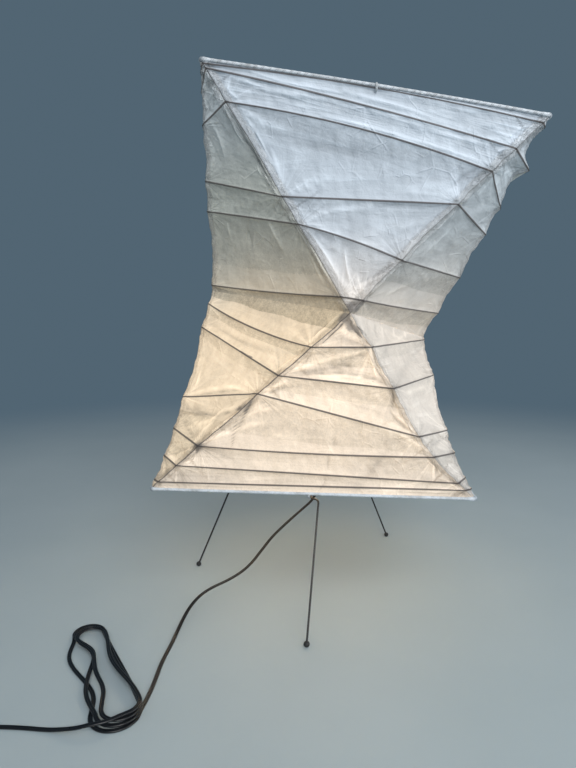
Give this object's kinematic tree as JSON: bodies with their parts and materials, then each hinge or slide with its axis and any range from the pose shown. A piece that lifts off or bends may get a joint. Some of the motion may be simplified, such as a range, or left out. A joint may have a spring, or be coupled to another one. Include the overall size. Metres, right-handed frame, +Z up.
{
  "type": "paper table lamp",
  "caption": "Table lamp with a tall twisted paper shade on bent ribs, held taut by a wire stretcher and standing on a wire tripod with a lamp holder, bulb and corded plug.",
  "frame": {"origin": "on the table, under the middle of the lamp without its cord", "axes": "+Z up, +X to the right and +Y to the back as seen from the side that the shade's front edge faces"},
  "size_m": [0.7081, 0.6419, 0.766],
  "materials": {
    "paper": "thin handmade paper, matt and translucent, pasted in bands",
    "wrapped_wire": "steel rod wrapped in strips of the shade's paper",
    "rib": "split bamboo, matt, dark brown where it shows through",
    "steel_wire": "old pale grey paint on round steel wire",
    "black_steel": "satin black enamel",
    "foot_rubber": "moulded rubber, matt black",
    "plain_steel": "zinc plated",
    "brass": "plain drawn brass",
    "holder_black": "moulded phenolic, black",
    "fibre": "brown pressed fibre",
    "holder_ceramic": "unglazed porcelain",
    "frosted_glass": "frosted inside, warm white",
    "cord_black": "soft black sheath, two cores side by side"
  },
  "bodies": {
    "base": {"hub_plate": "black_steel", "leg_front": "black_steel", "leg_right": "black_steel", "leg_left": "black_steel", "foot_front": "foot_rubber", "foot_right": "foot_rubber", "foot_left": "foot_rubber", "set_screws": "plain_steel", "holder_tube": "brass", "tube_nut": "plain_steel", "cord_grip": "holder_black", "holder_cap": "holder_black", "holder_shell": "holder_black", "holder_liner": "fibre", "holder_insert": "holder_ceramic", "holder_cup": "brass", "holder_contact": "brass", "cord_run": "cord_black", "cord_hank": "cord_black", "cord_tail": "cord_black", "plug_body": "cord_black", "plug_blades": "brass"},
    "switch": {"switch_spindle": "plain_steel", "switch_knob": "holder_black"},
    "bulb": {"bulb_glass": "frosted_glass", "bulb_cap": "brass"},
    "shade": {"bottom_frame": "wrapped_wire", "top_frame": "wrapped_wire", "bottom_crossbar": "steel_wire", "top_crossbar": "steel_wire", "stretcher": "steel_wire", "rib_low_1": "rib", "rib_low_2": "rib", "rib_low_3": "rib", "rib_low_4": "rib", "rib_low_5": "rib", "rib_low_6": "rib", "rib_high_1": "rib", "rib_high_2": "rib", "rib_high_3": "rib", "rib_high_4": "rib", "rib_high_5": "rib", "rib_high_6": "rib", "paper_low_left_front": "paper", "paper_low_front": "paper", "paper_low_front_right": "paper", "paper_low_right": "paper", "paper_low_right_back": "paper", "paper_low_back": "paper", "paper_low_back_left": "paper", "paper_low_left": "paper", "paper_high_left_front": "paper", "paper_high_front": "paper", "paper_high_front_right": "paper", "paper_high_right": "paper", "paper_high_right_back": "paper", "paper_high_back": "paper", "paper_high_back_left": "paper", "paper_high_left": "paper"}
  },
  "joints": [
    {"name": "shade_lift", "type": "slide", "parent": "base", "child": "shade", "axis": [0, 0, 1], "range_m": [0, 0.18]},
    {"name": "bulb_turn", "type": "hinge", "parent": "base", "child": "bulb", "pos_m": [-0.0208, 0, 0.26], "axis": [0, 0, 1], "range_deg": [0, 1440]},
    {"name": "switch_turn", "type": "hinge", "parent": "base", "child": "switch", "pos_m": [-0.0008, 0, 0.19365], "axis": [1, 0, 0], "continuous": true}
  ]
}
